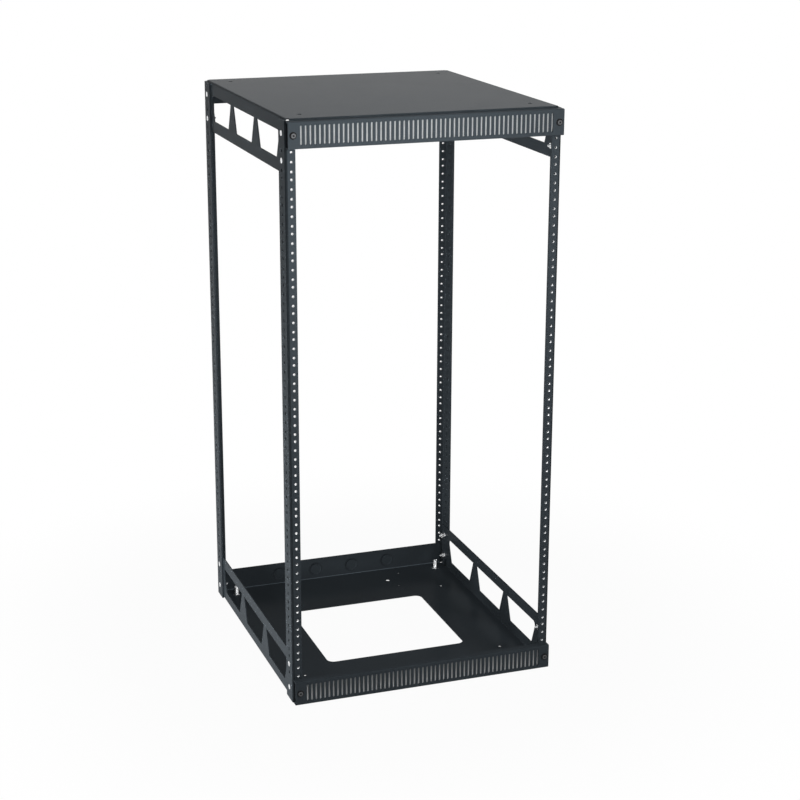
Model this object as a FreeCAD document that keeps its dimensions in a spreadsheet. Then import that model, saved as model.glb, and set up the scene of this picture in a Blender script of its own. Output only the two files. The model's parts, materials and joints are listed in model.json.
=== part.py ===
"""Open-frame equipment rack: four angle posts, two folded pans and two slotted panels.

Millimetres, +Z up, front towards -Y. The origin is the middle of the footprint, on the floor.
"""
import FreeCAD, Part
import math
import os
import Sketcher
from FreeCAD import Placement, Rotation, Vector

# Driving dimensions: alias, millimetres (or a count), what it is
SIZES = [
    ("rack_width", 485.775, "outside to outside of the posts"),
    ("rack_depth", 533.4, "front face of the front rails to back face of the rear rails"),
    ("unit_height", 44.45, "one rack unit"),
    ("unit_count", 21, "rack units between the slotted panels"),
    ("end_height", 44.45, "height of a slotted panel, and of the posts' ends behind it"),
    ("hole_gap", 12.7, "upper hole of a unit to the lower hole of the next"),
    ("hole_inset", 10.31875, "outside of a post to the holes in its rail face"),
    ("tapped_bore", 4.8, "diameter of the tapped rail holes"),
    ("post_thickness", 3.0, "sheet of the posts"),
    ("post_face", 17.45, "width of the rail face of a post"),
    ("post_side", 38.1, "width of the side face of a post"),
    ("post_bend", 4.5, "outer radius of the post bend"),
    ("side_bore", 5.6, "diameter of the holes in the side of a post"),
    ("side_inset", 20.6, "rail face to the side holes"),
    ("pan_thickness", 1.9, "sheet of the two pans"),
    ("pan_bend", 3.2, "outer radius of the pan bends"),
    ("pan_relief", 6.0, "corner cut-out of the pans, where two bends meet"),
    ("pan_rise", 2.7, "top pan above the upper ends of the posts"),
    ("base_side", 87.0, "height of the folded sides of the base pan"),
    ("top_side", 91.0, "height of the folded sides of the top pan"),
    ("back_height", 45.0, "height of the folded back of the pans"),
    ("lip_gap", 10.225, "rim of the pans' folded front to the middle of the panel screws above it"),
    ("window_border", 20.7, "rim of a pan's folded side to its windows"),
    ("window_height", 46.6, "height of the side windows"),
    ("window_setback", 41.6, "front rail face to the first side window"),
    ("window_margin", 41.6, "rear rail face to the last side window"),
    ("window_web", 16.7, "sheet between the upper corners of neighbouring side windows"),
    ("window_slant", 18.3, "lean of each end of a side window, from its top to its foot"),
    ("window_radius", 8.0, "outermost upper corners of the side windows"),
    ("well_inset", 108.7, "outside of the posts to the opening in the floor"),
    ("well_setback", 134.7, "front rail face to the opening in the floor"),
    ("well_margin", 153.7, "rear rail face to the opening in the floor"),
    ("well_radius", 13.0, "corners of the opening in the floor"),
    ("caster_inset", 30.0, "outside of the posts to the caster nuts"),
    ("caster_setback", 33.0, "rail faces to the caster nuts"),
    ("caster_bore", 8.0, "holes for the casters"),
    ("lift_inset", 38.7, "outside of the posts to the holes in the top pan"),
    ("lift_setback", 47.0, "rail faces to the holes in the top pan"),
    ("lift_bore", 8.0, "holes in the top pan"),
    ("tie_inset", 52.0, "outside of the posts to the tie-down holes in the floor"),
    ("tie_front", 98.5, "front rail face to the front tie-down holes"),
    ("tie_back", 125.2, "rear rail face to the rear tie-down holes"),
    ("tie_bore", 6.0, "tie-down holes"),
    ("port_inset", 144.5, "outside of the right posts to the larger of three holes in the floor's rear"),
    ("port_margin", 62.2, "rear rail face to that hole"),
    ("port_bore", 9.0, "diameter of that hole"),
    ("pilot_bore", 5.0, "diameter of the two small holes beside it"),
    ("rear_pilot_side", 33.0, "that hole to the rear small one, towards the right"),
    ("rear_pilot_step", 27.6, "that hole to the rear small one, towards the rear"),
    ("front_pilot_side", 13.0, "that hole to the front small one, towards the right"),
    ("front_pilot_step", 31.9, "that hole to the front small one, towards the front"),
    ("knockout_pitch", 77.0, "middle to middle of the knock-outs in the back"),
    ("knockout_width", 28.0, "diameter of a knock-out"),
    ("knockout_groove", 1.2, "width of the cut round a knock-out"),
    ("groove_depth", 0.7, "depth of the cut round a knock-out"),
    ("panel_inset", 1.5875, "outside of the posts to the ends of a slotted panel"),
    ("panel_standoff", 12.7, "rail face to the front of the slotted panels"),
    ("panel_thickness", 1.5, "sheet of the slotted panels"),
    ("panel_bend", 2.4, "outer radius of the panel bends"),
    ("slot_count", 56, "slots in a panel"),
    ("slot_width", 3.1, "width of a slot"),
    ("slot_inset", 22.0, "end of a panel to the middle of its outermost slot"),
    ("slot_border", 6.5, "long edges of a panel to the ends of its slots"),
    ("filter_inset", 18.3, "end of a panel to the end of the filter strip behind it"),
    ("filter_border", 4.0, "long edges of a panel to those of its filter strip"),
    ("filter_thickness", 5.0, "filter strip, front to back"),
    ("screw_thread", 4.6, "shank of the panel screws and side bolts"),
    ("screw_head", 9.2, "head diameter of the panel screws"),
    ("screw_rise", 1.8, "head height of the panel screws"),
    ("screw_round", 1.2, "rounding of the panel screws' heads"),
    ("washer_width", 12.4, "cup washer under a panel screw"),
    ("washer_rise", 0.9, "thickness of the cup washer"),
    ("socket_width", 3.2, "hexagon socket of the panel screws, across flats"),
    ("socket_depth", 1.5, "depth of the socket"),
    ("screw_tail", 3.0, "panel screw past the back of the rail face"),
    ("bolt_head", 9.4, "head diameter of the side bolts"),
    ("bolt_rise", 0.9, "head height of the low side bolts"),
    ("bolt_round", 0.7, "rounding of the side bolts' heads"),
    ("bolt_tail", 4.0, "side bolt past its nut"),
    ("nut_width", 9.5, "side nut, across flats"),
    ("nut_height", 5.5, "hexagon of the side nut"),
    ("nut_skirt", 11.6, "toothed skirt of the side nut"),
    ("skirt_rise", 1.0, "thickness of the toothed skirt"),
    ("thread_gap", 0.05, "clearance round a thread in its nut"),
    ("insert_width", 9.6, "barrel of a caster nut"),
    ("insert_height", 17.0, "height of a caster nut"),
    ("insert_skirt", 14.0, "collar of a caster nut"),
    ("insert_collar", 1.6, "thickness of the collar"),
    ("insert_bore", 6.8, "thread of a caster nut"),
]

document = FreeCAD.newDocument("equipment_rack")
sheet = document.addObject("Spreadsheet::Sheet", "Sizes")
for row, (alias, value, meaning) in enumerate(SIZES, start=1):
    sheet.set("A%d" % row, meaning)
    sheet.set("B%d" % row, str(value))
    sheet.setAlias("B%d" % row, alias)
document.recompute()


def cell(alias):
    """Value of one cell of the sheet."""
    return float(sheet.get(alias))


def of_sheet(words):
    """Formula over the sheet's cells, from one written with bare aliases."""
    for alias in sorted((entry[0] for entry in SIZES), key=len, reverse=True):
        words = words.replace("{%s}" % alias, "Sizes.%s" % alias)
    return words


# Places that several pieces share, as formulas over the sheet
REACH = "({panel_standoff} + {washer_rise} + {screw_rise})"
RAIL_Y = "(%s - {rack_depth}) / 2" % REACH
BACK_Y = "(%s + {rack_depth}) / 2" % REACH
MIDDLE_Y = "%s / 2" % REACH
POST_TOP = "({unit_count} * {unit_height} + 2 * {end_height})"
PAN_TOP = "(%s + {pan_rise})" % POST_TOP
PAN_X = "({rack_width} / 2 - {post_thickness})"
PAN_Y = "({rack_depth} / 2 - {post_thickness})"
HOLE_X = "({rack_width} / 2 - {hole_inset})"
CASTER_X = "({rack_width} / 2 - {caster_inset})"
PANEL_WIDTH = "({rack_width} - 2 * {panel_inset})"
ZONE_LOW = "({end_height} - {unit_height} / 2)"

# A new sketch line or circle has this size until its formula is bound
ROUGH = 1.0
# Points closer than this are one point
TOUCH = 0.01


def bind(thing, field, words):
    """Binds one field of an object to a formula over the sheet."""
    thing.setExpression(field, of_sheet(words))


def place(thing, x="0", y="0", z="0"):
    """Binds an object's position to three formulas."""
    for axis, words in zip("xyz", (x, y, z)):
        bind(thing, "Placement.Base." + axis, words)


def origin_feature(body, role):
    """One origin plane or axis of a body."""
    return next(f for f in body.Origin.OriginFeatures if f.Role == role)


def new_body(label):
    body = document.addObject("PartDesign::Body", label)
    body.Label = label
    return body


def new_sketch(body, name, plane, lift=None):
    """Empty sketch on an origin plane, raised off it by a formula."""
    sketch = body.newObject("Sketcher::SketchObject", name)
    sketch.AttachmentSupport = [(origin_feature(body, plane), "")]
    sketch.MapMode = "FlatFace"
    if lift:
        bind(sketch, "AttachmentOffset.Base.z", lift)
    return sketch


def pin_point(sketch, edge, end, x, y):
    """Holds one end of an edge at two formulas, measured from the sketch's origin."""
    for kind, words in (("DistanceX", x), ("DistanceY", y)):
        number = sketch.addConstraint(Sketcher.Constraint(kind, -1, 1, edge, end, ROUGH))
        bind(sketch, "Constraints[%d]" % number, words)


def draw_outline(sketch, corners):
    """Closed outline through corners given as pairs of formulas."""
    rough = [Vector(math.cos(2 * math.pi * i / len(corners)), math.sin(2 * math.pi * i / len(corners)), 0)
             for i in range(len(corners))]
    edges = [sketch.addGeometry(Part.LineSegment(rough[i], rough[(i + 1) % len(rough)]), False)
             for i in range(len(rough))]
    for i, edge in enumerate(edges):
        sketch.addConstraint(Sketcher.Constraint("Coincident", edge, 2, edges[(i + 1) % len(edges)], 1))
    for edge, (x, y) in zip(edges, corners):
        pin_point(sketch, edge, 1, x, y)


def draw_circle(sketch, x, y, diameter):
    edge = sketch.addGeometry(Part.Circle(Vector(0, 0, 0), Vector(0, 0, 1), ROUGH), False)
    pin_point(sketch, edge, 3, x, y)
    number = sketch.addConstraint(Sketcher.Constraint("Diameter", edge, ROUGH))
    bind(sketch, "Constraints[%d]" % number, diameter)


def pad(body, name, sketch, length, both_ways=False, turned=False):
    feature = body.newObject("PartDesign::Pad", name)
    feature.Profile = sketch
    feature.Midplane = both_ways
    feature.Reversed = turned
    bind(feature, "Length", length)
    return feature


def cut_through(body, name, sketch):
    """Cut along the sketch's normal through everything, both ways."""
    feature = body.newObject("PartDesign::Pocket", name)
    feature.Profile = sketch
    feature.Type = "ThroughAll"
    feature.Midplane = True
    return feature


def round_edges(body, name, base, radius, wanted):
    """Rounds the straight edges of a feature whose middle point and direction are wanted."""
    document.recompute()
    names = []
    for number, edge in enumerate(base.Shape.Edges, start=1):
        if edge.Curve.TypeId == "Part::GeomLine":
            middle = edge.valueAt((edge.FirstParameter + edge.LastParameter) / 2)
            if wanted(middle, edge.tangentAt(edge.FirstParameter)):
                names.append("Edge%d" % number)
    fillet = body.newObject("PartDesign::Fillet", name)
    fillet.Base = (base, names)
    bind(fillet, "Radius", radius)
    body.Tip = fillet
    return fillet


def near(a, b):
    return abs(a - b) < TOUCH


# Posts: an angle with the rack holes in its face and the same rows in its side

def make_post(label, hand, x, y, turn):
    """One post. Hand is 1 where its rail face runs towards +X from its outer corner, else -1."""
    body = new_body(label + "_angle")
    sign = "%d * " % hand
    profile = new_sketch(body, label + "_profile", "XY_Plane")
    draw_outline(profile, [
        ("0", "0"),
        (sign + "{post_face}", "0"),
        (sign + "{post_face}", "{post_thickness}"),
        (sign + "{post_thickness}", "{post_thickness}"),
        (sign + "{post_thickness}", "{post_side}"),
        ("0", "{post_side}"),
    ])
    bar = pad(body, label + "_bar", profile, POST_TOP)

    thickness = cell("post_thickness")
    outer = round_edges(body, label + "_outer_bend", bar, "{post_bend}",
                        lambda p, d: abs(d.z) > 0.9 and near(p.x, 0) and near(p.y, 0))
    round_edges(body, label + "_inner_bend", outer, "{post_bend} - {post_thickness}",
                lambda p, d: abs(d.z) > 0.9 and near(abs(p.x), thickness) and near(p.y, thickness))

    body.Tip = document.getObject(label + "_inner_bend")
    column = hand * cell("hole_inset")
    reach = 2 * thickness
    holes = []
    for z in hole_heights():
        rail_hole = Vector(column, -thickness / 2, z)
        side_hole = Vector(-hand * thickness / 2, cell("side_inset"), z)
        holes.append(Part.makeCylinder(cell("tapped_bore") / 2, reach, rail_hole, Vector(0, 1, 0)))
        holes.append(Part.makeCylinder(cell("side_bore") / 2, reach, side_hole, Vector(hand, 0, 0)))
    post = pierced(label, body, holes)
    post.Placement = Placement(Vector(0, 0, 0), Rotation(Vector(0, 0, 1), turn))
    place(post, x, y)
    return post


def hole_heights():
    """Heights of the holes in a post: three in each unit, and one middle hole past each end."""
    rise = cell("unit_height")
    step = (rise - cell("hole_gap")) / 2
    first = cell("end_height") + rise / 2
    middles = [first + unit * rise for unit in range(int(cell("unit_count")))]
    heights = [middle + shift for middle in middles for shift in (-step, 0, step)]
    return [middles[0] - rise] + heights + [middles[-1] + rise]


def pierced(label, body, cutters):
    """The body less all its holes, cut at once."""
    tool = document.addObject("Part::Feature", label + "_cutters")
    tool.Shape = Part.makeCompound(cutters)
    return without(label, body, tool)


# Pans: one sheet folded down, or up, on all four sides

def make_pan(label, up):
    """One pan in its place. Up is 1 where its sides stand up from its floor, else -1."""
    body = new_body(label)
    face = "0" if up > 0 else PAN_TOP
    inner = "%s + %d * {pan_thickness}" % (face, up)

    across = new_sketch(body, label + "_across", "XZ_Plane")
    rim = "{base_side}" if up > 0 else PAN_TOP + " - {top_side}"
    draw_outline(across, [
        ("-" + PAN_X, face), (PAN_X, face), (PAN_X, rim), (PAN_X + " - {pan_thickness}", rim),
        (PAN_X + " - {pan_thickness}", inner), ("{pan_thickness} - " + PAN_X, inner),
        ("{pan_thickness} - " + PAN_X, rim), ("-" + PAN_X, rim),
    ])
    pad(body, label + "_sides", across, "2 * (%s - {pan_relief})" % PAN_Y, both_ways=True)

    along = new_sketch(body, label + "_along", "YZ_Plane")
    lip = "%s + %d * (%s - {lip_gap})" % (face, up, ZONE_LOW)
    back = "%s + %d * {back_height}" % (face, up)
    draw_outline(along, [
        ("-" + PAN_Y, face), (PAN_Y, face), (PAN_Y, back), (PAN_Y + " - {pan_thickness}", back),
        (PAN_Y + " - {pan_thickness}", inner), ("{pan_thickness} - " + PAN_Y, inner),
        ("{pan_thickness} - " + PAN_Y, lip), ("-" + PAN_Y, lip),
    ])
    folded = pad(body, label + "_ends", along, "2 * (%s - {pan_relief})" % PAN_X, both_ways=True)

    half_x = cell("rack_width") / 2 - cell("post_thickness")
    half_y = cell("rack_depth") / 2 - cell("post_thickness")
    thickness = cell("pan_thickness")
    outer_z = 0.0 if up > 0 else cell("unit_count") * cell("unit_height") \
        + 2 * cell("end_height") + cell("pan_rise")
    inner_z = outer_z + up * thickness

    def outer_bend(p, d):
        level = abs(d.z) < 0.1 and near(p.z, outer_z)
        side = near(abs(p.x), half_x) and abs(d.y) > 0.9
        return level and (side or near(abs(p.y), half_y) and abs(d.x) > 0.9)

    def inner_bend(p, d):
        level = abs(d.z) < 0.1 and near(p.z, inner_z)
        side = near(abs(p.x), half_x - thickness) and abs(d.y) > 0.9
        return level and (side or near(abs(p.y), half_y - thickness) and abs(d.x) > 0.9)

    rounded = round_edges(body, label + "_outer_bends", folded, "{pan_bend}", outer_bend)
    round_edges(body, label + "_inner_bends", rounded, "{pan_bend} - {pan_thickness}", inner_bend)

    cut_windows(body, label, rim, up)
    side_holes = new_sketch(body, label + "_side_holes", "YZ_Plane")
    low = ZONE_LOW if up > 0 else ZONE_LOW + " + {unit_height} * {unit_count}"
    for lift in (low, low + " + {unit_height}"):
        for edge in ("{side_inset} - {rack_depth} / 2", "{rack_depth} / 2 - {side_inset}"):
            draw_circle(side_holes, edge, lift, "{side_bore}")
    cut_through(body, label + "_side_holes_cut", side_holes)
    cut_knockouts(body, label, face, up)
    cut_face_holes(body, label, up)
    place(body, "0", MIDDLE_Y)
    return body


def cut_windows(body, label, rim, up):
    """Three windows in each folded side, wider at the top, through both sides at once."""
    windows = new_sketch(body, label + "_windows", "YZ_Plane")
    foot = rim + (" - {window_border} - {window_height}" if up > 0 else " + {window_border}")
    head = foot + " + {window_height}"
    width = "({rack_depth} - {window_setback} - {window_margin} - 2 * {window_web}) / 3"
    for number in range(3):
        near_end = "{window_setback} - {rack_depth} / 2 + %d * (%s + {window_web})" % (number, width)
        far_end = "%s + %s" % (near_end, width)
        draw_outline(windows, [
            (near_end + " + {window_slant}", foot),
            (far_end + " - {window_slant}", foot),
            (far_end, head),
            (near_end, head),
        ])
    cut = cut_through(body, label + "_windows_cut", windows)
    first_corner = cell("window_setback") - cell("rack_depth") / 2
    last_corner = cell("rack_depth") / 2 - cell("window_margin")
    round_edges(body, label + "_window_corners", cut, "{window_radius}",
                lambda p, d: abs(d.x) > 0.9 and (near(p.y, first_corner) or near(p.y, last_corner)))


def cut_knockouts(body, label, face, up):
    """Four round knock-outs scored into the inside of the folded back."""
    rings = new_sketch(body, label + "_knockouts", "XZ_Plane", "{pan_thickness} - " + PAN_Y)
    lift = "%s + %d * {back_height} / 2" % (face, up)
    for step in (-1.5, -0.5, 0.5, 1.5):
        for size in ("{knockout_width}", "{knockout_width} - 2 * {knockout_groove}"):
            draw_circle(rings, "%s * {knockout_pitch}" % step, lift, size)
    score = body.newObject("PartDesign::Pocket", label + "_knockouts_cut")
    score.Profile = rings
    score.Type = "Length"
    bind(score, "Length", "{groove_depth}")
    return score


def cut_face_holes(body, label, up):
    """Holes in the flat of a pan, and the well in the floor of the base pan."""
    holes = new_sketch(body, label + "_face_holes", "XY_Plane")
    use = "caster" if up > 0 else "lift"
    column = "({rack_width} / 2 - {%s_inset})" % use
    reach = "({rack_depth} / 2 - {%s_setback})" % use
    for side in ("-", ""):
        for end in ("-", ""):
            draw_circle(holes, side + column, end + reach, "{%s_bore}" % use)
        if up > 0:
            for row in ("{tie_front} - {rack_depth} / 2", "{rack_depth} / 2 - {tie_back}"):
                draw_circle(holes, side + "({rack_width} / 2 - {tie_inset})", row, "{tie_bore}")
    if up > 0:
        draw_port_holes(holes)
    cut = cut_through(body, label + "_face_holes_cut", holes)
    body.Tip = cut
    if up > 0:
        well = new_sketch(body, label + "_well", "XY_Plane")
        half = "({rack_width} / 2 - {well_inset})"
        front = "{well_setback} - {rack_depth} / 2"
        rear = "{rack_depth} / 2 - {well_margin}"
        draw_outline(well, [("-" + half, front), (half, front), (half, rear), ("-" + half, rear)])
        opening = cut_through(body, label + "_well_cut", well)
        half_width = cell("rack_width") / 2 - cell("well_inset")
        round_edges(body, label + "_well_corners", opening, "{well_radius}",
                    lambda p, d: abs(d.z) > 0.9 and near(abs(p.x), half_width))


def draw_port_holes(holes):
    """One larger and two small round holes, on the right in the floor's rear only."""
    x = "({rack_width} / 2 - {port_inset})"
    y = "({rack_depth} / 2 - {port_margin})"
    draw_circle(holes, x, y, "{port_bore}")
    draw_circle(holes, x + " + {rear_pilot_side}", y + " + {rear_pilot_step}", "{pilot_bore}")
    draw_circle(holes, x + " + {front_pilot_side}", y + " - {front_pilot_step}", "{pilot_bore}")


# Slotted panels: a channel with its flanges on the rail faces

def make_panel(label, foot):
    """One slotted panel, its lower edge at the height foot."""
    body = new_body(label + "_folded")
    profile = new_sketch(body, label + "_profile", "YZ_Plane")
    draw_outline(profile, [
        ("0", "0"), ("0", "{panel_thickness}"),
        ("{panel_thickness} - {panel_standoff}", "{panel_thickness}"),
        ("{panel_thickness} - {panel_standoff}", "{end_height} - {panel_thickness}"),
        ("0", "{end_height} - {panel_thickness}"), ("0", "{end_height}"),
        ("-{panel_standoff}", "{end_height}"), ("-{panel_standoff}", "0"),
    ])
    channel = pad(body, label + "_channel", profile, PANEL_WIDTH, both_ways=True)
    front = -cell("panel_standoff")
    thickness = cell("panel_thickness")
    height = cell("end_height")
    rounded = round_edges(body, label + "_outer_bends", channel, "{panel_bend}",
                          lambda p, d: abs(d.x) > 0.9 and near(p.y, front)
                          and (near(p.z, 0) or near(p.z, height)))
    round_edges(body, label + "_inner_bends", rounded, "{panel_bend} - {panel_thickness}",
                lambda p, d: abs(d.x) > 0.9 and near(p.y, front + thickness)
                and (near(p.z, thickness) or near(p.z, height - thickness)))

    body.Tip = document.getObject(label + "_inner_bends")
    outermost = cell("rack_width") / 2 - cell("panel_inset") - cell("slot_inset")
    gaps = int(cell("slot_count")) - 1
    cutters = [slot_cutter(outermost * (2 * number / gaps - 1), height / 2) for number in range(gaps + 1)]
    for hand in (-1, 1):
        column = hand * (cell("rack_width") / 2 - cell("hole_inset"))
        start = Vector(column, front - thickness, panel_hole(foot))
        cutters.append(Part.makeCylinder(cell("side_bore") / 2, 3 * thickness, start, Vector(0, 1, 0)))
    panel = pierced(label, body, cutters)
    place(panel, "0", RAIL_Y, foot)
    return panel


def panel_hole(foot):
    """Height of a panel's screws above its lower edge: the rail hole that the panel covers."""
    heights = hole_heights()
    if foot == "0":
        return heights[0]
    return heights[-1] - cell("unit_count") * cell("unit_height") - cell("end_height")


def slot_cutter(x, z):
    """Upright slot with round ends, its middle at x and z."""
    radius = cell("slot_width") / 2
    half = cell("end_height") / 2 - cell("slot_border") - radius
    y = -cell("panel_standoff") - cell("panel_thickness")
    left, right, low, high = x - radius, x + radius, z - half, z + half
    outline = Part.Wire([
        Part.LineSegment(Vector(right, y, low), Vector(right, y, high)).toShape(),
        Part.Arc(Vector(right, y, high), Vector(x, y, high + radius), Vector(left, y, high)).toShape(),
        Part.LineSegment(Vector(left, y, high), Vector(left, y, low)).toShape(),
        Part.Arc(Vector(left, y, low), Vector(x, y, low - radius), Vector(right, y, low)).toShape(),
    ])
    return Part.Face(outline).extrude(Vector(0, 3 * cell("panel_thickness"), 0))


def make_filter(label, foot):
    """Filter strip against the back of a slotted panel."""
    strip = document.addObject("Part::Box", label)
    bind(strip, "Length", PANEL_WIDTH + " - 2 * {filter_inset}")
    bind(strip, "Width", "{filter_thickness}")
    bind(strip, "Height", "{end_height} - 2 * {filter_border}")
    place(strip, "{filter_inset} - %s / 2" % PANEL_WIDTH,
          RAIL_Y + " - {panel_standoff} + {panel_thickness}", foot + " + {filter_border}")
    return strip


# Fasteners

def cylinder(name, diameter, height, turn, x, y, z):
    """Cylinder that starts at x, y, z and runs along its turned axis."""
    rod = document.addObject("Part::Cylinder", name)
    bind(rod, "Radius", "(%s) / 2" % diameter)
    bind(rod, "Height", height)
    rod.Placement = Placement(Vector(0, 0, 0), turn)
    place(rod, x, y, z)
    return rod


def hexagon(name, across, height, turn, x, y, z):
    block = document.addObject("Part::Prism", name)
    block.Polygon = 6
    bind(block, "Circumradius", "(%s) / sqrt(3)" % across)
    bind(block, "Height", height)
    block.Placement = Placement(Vector(0, 0, 0), turn)
    place(block, x, y, z)
    return block


def joined(label, pieces):
    whole = document.addObject("Part::MultiFuse", label)
    whole.Shapes = pieces
    return whole


def without(label, base, tool):
    rest = document.addObject("Part::Cut", label)
    rest.Base = base
    rest.Tool = tool
    return rest


def domed(name, head, radius):
    """A cylinder with its far rim rounded."""
    document.recompute()
    far = head.Placement.multVec(Vector(0, 0, float(head.Height)))
    rims = [number for number, edge in enumerate(head.Shape.Edges, start=1)
            if edge.Curve.TypeId == "Part::GeomCircle" and (edge.Curve.Center - far).Length < TOUCH]
    dome = document.addObject("Part::Fillet", name)
    dome.Base = head
    dome.Edges = [(number, cell(radius), cell(radius)) for number in rims]
    return dome


TO_RIGHT = Rotation(Vector(0, 1, 0), 90)
TO_LEFT = Rotation(Vector(0, 1, 0), -90)
TO_FRONT = Rotation(Vector(1, 0, 0), 90)
TO_BACK = Rotation(Vector(1, 0, 0), -90)
UPRIGHT = Rotation()


def make_panel_screw(label, side, height):
    """Round-head socket screw with a cup washer, through a slotted panel into the rail face."""
    x = side + HOLE_X
    face = RAIL_Y + " - {panel_standoff}"
    shank = cylinder(label + "_shank", "{screw_thread}",
                     "{panel_standoff} + {post_thickness} + {screw_tail}", TO_BACK, x, face, height)
    washer = cylinder(label + "_washer", "{washer_width}", "{washer_rise}", TO_FRONT, x, face, height)
    head = cylinder(label + "_head", "{screw_head}", "{screw_rise}", TO_FRONT,
                    x, face + " - {washer_rise}", height)
    socket = hexagon(label + "_socket", "{socket_width}", "{socket_depth}", TO_BACK,
                     x, face + " - {washer_rise} - {screw_rise}", height)
    solid = joined(label + "_solid", [domed(label + "_dome", head, "screw_round"), washer, shank])
    return without(label, solid, socket)


def make_side_bolts(corner, level, side, y, heights):
    """Two bolts from outside through a post and the side of a pan, and their two nuts inside."""
    outward, inward = (TO_LEFT, TO_RIGHT) if side == "-" else (TO_RIGHT, TO_LEFT)
    outer_face = side + "{rack_width} / 2"
    inner_face = "%s({rack_width} / 2 - {post_thickness} - {pan_thickness})" % side
    towards = "+" if side == "-" else "-"
    label = "%s_%s" % (corner, level)
    bolt_pieces = []
    nuts = []
    for number, z in enumerate(heights, start=1):
        name = "%s_%d" % (label, number)
        head = cylinder(name + "_head", "{bolt_head}", "{bolt_rise}", outward, outer_face, y, z)
        bolt_pieces.append(domed(name + "_dome", head, "bolt_round"))
        bolt_pieces.append(cylinder(
            name + "_shank", "{screw_thread}",
            "{post_thickness} + {pan_thickness} + {skirt_rise} + {nut_height} + {bolt_tail}",
            inward, outer_face, y, z))
        skirt = cylinder(name + "_skirt", "{nut_skirt}", "{skirt_rise}", inward, inner_face, y, z)
        crown = hexagon(name + "_crown", "{nut_width}", "{nut_height}", inward,
                        "%s %s {skirt_rise}" % (inner_face, towards), y, z)
        thread = cylinder(name + "_thread", "{screw_thread} + 2 * {thread_gap}",
                          "{skirt_rise} + {nut_height}", inward, inner_face, y, z)
        nuts.append(without(name + "_nut", joined(name + "_blank", [skirt, crown]), thread))
    return [joined(label + "_bolts", bolt_pieces), joined(label + "_nuts", nuts)]


def make_caster_nut(label, side, y):
    """Threaded insert on the floor of the base pan, over a caster hole."""
    x = side + CASTER_X
    collar = cylinder(label + "_collar", "{insert_skirt}", "{insert_collar}", UPRIGHT,
                      x, y, "{pan_thickness}")
    barrel = cylinder(label + "_barrel", "{insert_width}", "{insert_height}", UPRIGHT,
                      x, y, "{pan_thickness}")
    thread = cylinder(label + "_thread", "{insert_bore}", "{insert_height}", UPRIGHT,
                      x, y, "{pan_thickness}")
    return without(label, joined(label + "_solid", [collar, barrel]), thread)


# The assembly
nodes = []
LEFT, RIGHT = "-{rack_width} / 2", "{rack_width} / 2"
nodes.append(make_post("front_left_post", 1, LEFT, RAIL_Y, 0))
nodes.append(make_post("front_right_post", -1, RIGHT, RAIL_Y, 0))
nodes.append(make_post("rear_right_post", 1, RIGHT, BACK_Y, 180))
nodes.append(make_post("rear_left_post", -1, LEFT, BACK_Y, 180))
nodes.append(make_pan("base_pan", 1))
nodes.append(make_pan("top_pan", -1))

TOP_FOOT = "(%s - {end_height})" % POST_TOP
PANEL_HEIGHTS = {"base": ZONE_LOW, "top": ZONE_LOW + " + {unit_height} * ({unit_count} + 1)"}
for level, foot in (("base", "0"), ("top", TOP_FOOT)):
    nodes.append(make_panel(level + "_vent_panel", foot))
    nodes.append(make_filter(level + "_vent_filter", foot))
    for hand, side in (("left", "-"), ("right", "")):
        nodes.append(make_panel_screw("%s_%s_panel_screw" % (level, hand), side, PANEL_HEIGHTS[level]))

BOLT_HEIGHTS = {
    "base": (ZONE_LOW, ZONE_LOW + " + {unit_height}"),
    "top": (ZONE_LOW + " + {unit_height} * {unit_count}",
            ZONE_LOW + " + {unit_height} * ({unit_count} + 1)"),
}
for end, bolt_y, caster_y in (
        ("front", RAIL_Y + " + {side_inset}", RAIL_Y + " + {caster_setback}"),
        ("rear", BACK_Y + " - {side_inset}", BACK_Y + " - {caster_setback}")):
    for hand, side in (("left", "-"), ("right", "")):
        corner = "%s_%s" % (end, hand)
        for level, heights in BOLT_HEIGHTS.items():
            nodes.extend(make_side_bolts(corner, level, side, bolt_y, heights))
        nodes.append(make_caster_nut(corner + "_caster_nut", side, caster_y))

document.recompute()
for thing in document.Objects:
    if "Invalid" in thing.State or "Error" in thing.State:
        raise RuntimeError("%s could not be made: %s" % (thing.Label, thing.State))

os.makedirs("parts", exist_ok=True)
for node in nodes:
    shape = node.Shape
    if shape.isNull() or not shape.isValid() or not shape.Solids:
        raise RuntimeError("%s has no valid solid" % node.Label)
    shape.exportStep("parts/%s.step" % node.Label)
    box = shape.BoundBox
    print("%-26s %2d solid(s) %11.1f mm3  x %8.2f %8.2f  y %8.2f %8.2f  z %8.2f %8.2f" % (
        node.Label, len(shape.Solids), shape.Volume,
        box.XMin, box.XMax, box.YMin, box.YMax, box.ZMin, box.ZMax))
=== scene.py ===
"""Looks of the open-frame equipment rack, laid out as an add-on and run as a script.

Metres, +Z up, front towards -Y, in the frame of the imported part.
"""
import json
import math

import bpy
import numpy as np
from bpy.props import FloatProperty, FloatVectorProperty, IntProperty, PointerProperty
from mathutils import Euler, Matrix, Vector


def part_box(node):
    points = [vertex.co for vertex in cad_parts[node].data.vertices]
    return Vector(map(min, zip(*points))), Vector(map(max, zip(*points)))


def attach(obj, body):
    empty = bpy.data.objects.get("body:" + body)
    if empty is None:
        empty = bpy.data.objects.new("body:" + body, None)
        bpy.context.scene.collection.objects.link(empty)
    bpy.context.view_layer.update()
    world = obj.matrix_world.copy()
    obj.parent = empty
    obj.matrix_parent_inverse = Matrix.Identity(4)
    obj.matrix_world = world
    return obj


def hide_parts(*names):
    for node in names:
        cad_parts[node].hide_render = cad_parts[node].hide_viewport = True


bl_info = {
    "name": "Equipment rack looks",
    "version": (1, 0, 0),
    "blender": (4, 5, 0),
    "location": "3D Viewport > Sidebar > Rack",
    "description": "Finishes, threads, hardware, filter mats and the stage of an open-frame rack",
    "category": "Object",
}

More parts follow.
